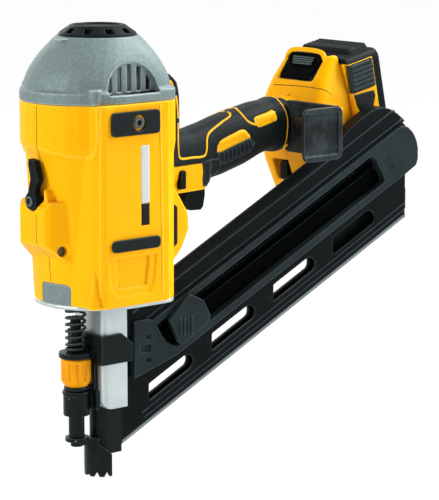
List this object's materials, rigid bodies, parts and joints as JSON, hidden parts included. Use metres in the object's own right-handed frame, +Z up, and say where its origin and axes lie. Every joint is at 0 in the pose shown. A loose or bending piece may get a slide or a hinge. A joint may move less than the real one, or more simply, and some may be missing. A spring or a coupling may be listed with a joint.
{
  "type": "cordless framing nailer",
  "caption": "Battery nail gun with a domed drive housing, sprung contact trip with a depth wheel, angled magazine with a sliding pusher, rubber grip with trigger and slide-on battery.",
  "frame": {"origin": "centre of the drive channel at its mouth, where the nail leaves the drive guide", "axes": "+Z up along the drive axis, away from the work; +X back towards the handle and battery; +Y towards the right-hand side of the tool"},
  "size_m": [0.3384, 0.1167, 0.3305],
  "materials": {
    "yellow_nylon": "satin moulded glass-filled nylon",
    "cast_magnesium": "grey paint over a die casting, fine orange peel",
    "black_nylon": "moulded black nylon, fine texture",
    "bumper_rubber": "matte overmoulded rubber",
    "black_magazine": "black coated extrusion, satin",
    "black_oxide_steel": "black oxide on steel, oiled",
    "cast_aluminium": "bead-blasted casting",
    "orange_nylon": "moulded nylon with a fluted rim",
    "zinc_screws": "dark zinc plate",
    "bright_steel": "ground steel",
    "machined_steel": "turned steel",
    "motor_copper": "enamelled copper windings",
    "solenoid_black": "wrapped coil and moulded switch body",
    "circuit_board": "green lacquered board",
    "cell_sleeve": "shrink sleeve on steel cells"
  },
  "bodies": {
    "frame": {"left_housing": "yellow_nylon", "right_housing": "yellow_nylon", "end_cap": "cast_magnesium", "top_cover": "black_nylon", "cap_screws": "zinc_screws", "upper_bumpers": "bumper_rubber", "lower_bumpers": "bumper_rubber", "bumper_screws": "zinc_screws", "housing_screws": "zinc_screws", "lever_pin": "zinc_screws", "nosepiece": "cast_aluminium", "nose_skirt": "cast_magnesium", "drive_guide": "black_oxide_steel", "guide_sleeve": "black_oxide_steel", "trip_spring": "black_oxide_steel", "drive_frame": "cast_aluminium", "motor_stator": "motor_copper", "motor_axle": "bright_steel", "flywheel_bearings": "bright_steel", "arm_pin": "bright_steel", "solenoid": "solenoid_black", "guide_rods": "bright_steel", "return_springs": "bright_steel", "drive_bumpers": "bumper_rubber", "left_grip": "bumper_rubber", "right_grip": "bumper_rubber", "trigger_pin": "zinc_screws", "trigger_switch": "solenoid_black", "foot_insert": "black_nylon", "control_board": "circuit_board", "terminal_block": "black_nylon", "rafter_hook": "black_oxide_steel", "hook_screw": "zinc_screws", "magazine_body": "black_magazine", "magazine_cover": "black_nylon", "magazine_tail": "black_nylon", "wear_strip": "bright_steel"},
    "trip": {"trip_carriage": "black_oxide_steel"},
    "wheel": {"depth_wheel": "orange_nylon"},
    "contact": {"depth_rod": "black_oxide_steel", "contact_foot": "black_oxide_steel"},
    "driver": {"driver_blade": "bright_steel"},
    "rotor": {"flywheel": "machined_steel"},
    "arm": {"roller_arm": "machined_steel"},
    "roller": {"pinch_roller": "machined_steel"},
    "stall_reset": {"stall_lever": "black_nylon"},
    "trigger_body": {"trigger": "black_nylon"},
    "lock_button": {"trigger_lock": "black_nylon"},
    "selector": {"drive_selector": "black_nylon"},
    "battery": {"battery_case": "yellow_nylon", "battery_cover": "black_nylon", "battery_cells": "cell_sleeve"},
    "release_left": {"left_release": "black_nylon"},
    "release_right": {"right_release": "black_nylon"},
    "nail_pusher": {"pusher": "black_nylon", "pusher_spring": "bright_steel"},
    "stop_button": {"nail_stop": "black_nylon"}
  },
  "joints": [
    {"name": "trip_slide", "type": "slide", "parent": "frame", "child": "trip", "axis": [0, 0, 1], "range_m": [0, 0.012], "stiffness_N_per_m": 600, "springref_m": -0.01, "deforming": ["trip_spring"]},
    {"name": "depth_wheel_turn", "type": "hinge", "parent": "trip", "child": "wheel", "pos_m": [-0.0225, 0, 0.0641], "axis": [0, 0, 1], "range_deg": [-480, 960]},
    {"name": "depth_slide", "type": "slide", "parent": "trip", "child": "contact", "axis": [0, 0, 1], "range_m": [-0.002, 0.004]},
    {"name": "driver_stroke", "type": "slide", "parent": "frame", "child": "driver", "axis": [0, 0, -1], "range_m": [0, 0.108], "stiffness_N_per_m": 120, "springref_m": -0.03, "deforming": ["return_springs"]},
    {"name": "flywheel_spin", "type": "hinge", "parent": "frame", "child": "rotor", "pos_m": [0.018, 0, 0.146], "axis": [0, 1, 0], "continuous": true},
    {"name": "arm_swing", "type": "hinge", "parent": "frame", "child": "arm", "pos_m": [-0.024, 0, 0.162], "axis": [0, 1, 0], "range_deg": [0, 4], "stiffness_Nm_per_rad": 8, "springref_deg": -2.86},
    {"name": "roller_spin", "type": "hinge", "parent": "arm", "child": "roller", "pos_m": [-0.009, 0, 0.146], "axis": [0, 1, 0], "continuous": true},
    {"name": "stall_lever_turn", "type": "hinge", "parent": "frame", "child": "stall_reset", "pos_m": [-0.0585, 0, 0.193], "axis": [-1, 0, 0], "range_deg": [0, 40], "stiffness_Nm_per_rad": 0.05, "springref_deg": -20.05},
    {"name": "trigger_pull", "type": "hinge", "parent": "frame", "child": "trigger_body", "pos_m": [0.084, 0, 0.19], "axis": [0, -1, 0], "range_deg": [0, 12], "stiffness_Nm_per_rad": 0.8, "springref_deg": -11.46},
    {"name": "trigger_lock_push", "type": "slide", "parent": "frame", "child": "lock_button", "axis": [0, 1, 0], "range_m": [-0.003, 0.003]},
    {"name": "drive_selector_slide", "type": "slide", "parent": "frame", "child": "selector", "axis": [0, 1, 0], "range_m": [0, 0.005]},
    {"name": "battery_slide", "type": "slide", "parent": "frame", "child": "battery", "axis": [-0.2079, 0, 0.9781], "range_m": [0, 0.1]},
    {"name": "left_release_press", "type": "slide", "parent": "battery", "child": "release_left", "axis": [0, 1, 0], "range_m": [0, 0.0022], "stiffness_N_per_m": 400, "springref_m": -0.003},
    {"name": "right_release_press", "type": "slide", "parent": "battery", "child": "release_right", "axis": [0, -1, 0], "range_m": [0, 0.0022], "stiffness_N_per_m": 400, "springref_m": -0.003},
    {"name": "pusher_slide", "type": "slide", "parent": "frame", "child": "nail_pusher", "axis": [0.8549, -0.1385, 0.5], "range_m": [0, 0.19], "stiffness_N_per_m": 20, "springref_m": -0.5},
    {"name": "nail_stop_press", "type": "slide", "parent": "frame", "child": "stop_button", "axis": [0.1599, 0.9871, 0], "range_m": [0, 0.0022], "stiffness_N_per_m": 300, "springref_m": -0.003}
  ],
  "couplings": [
    {"joint": "depth_wheel_turn", "follows": "depth_slide", "rad_per_m": 4188.8}
  ]
}
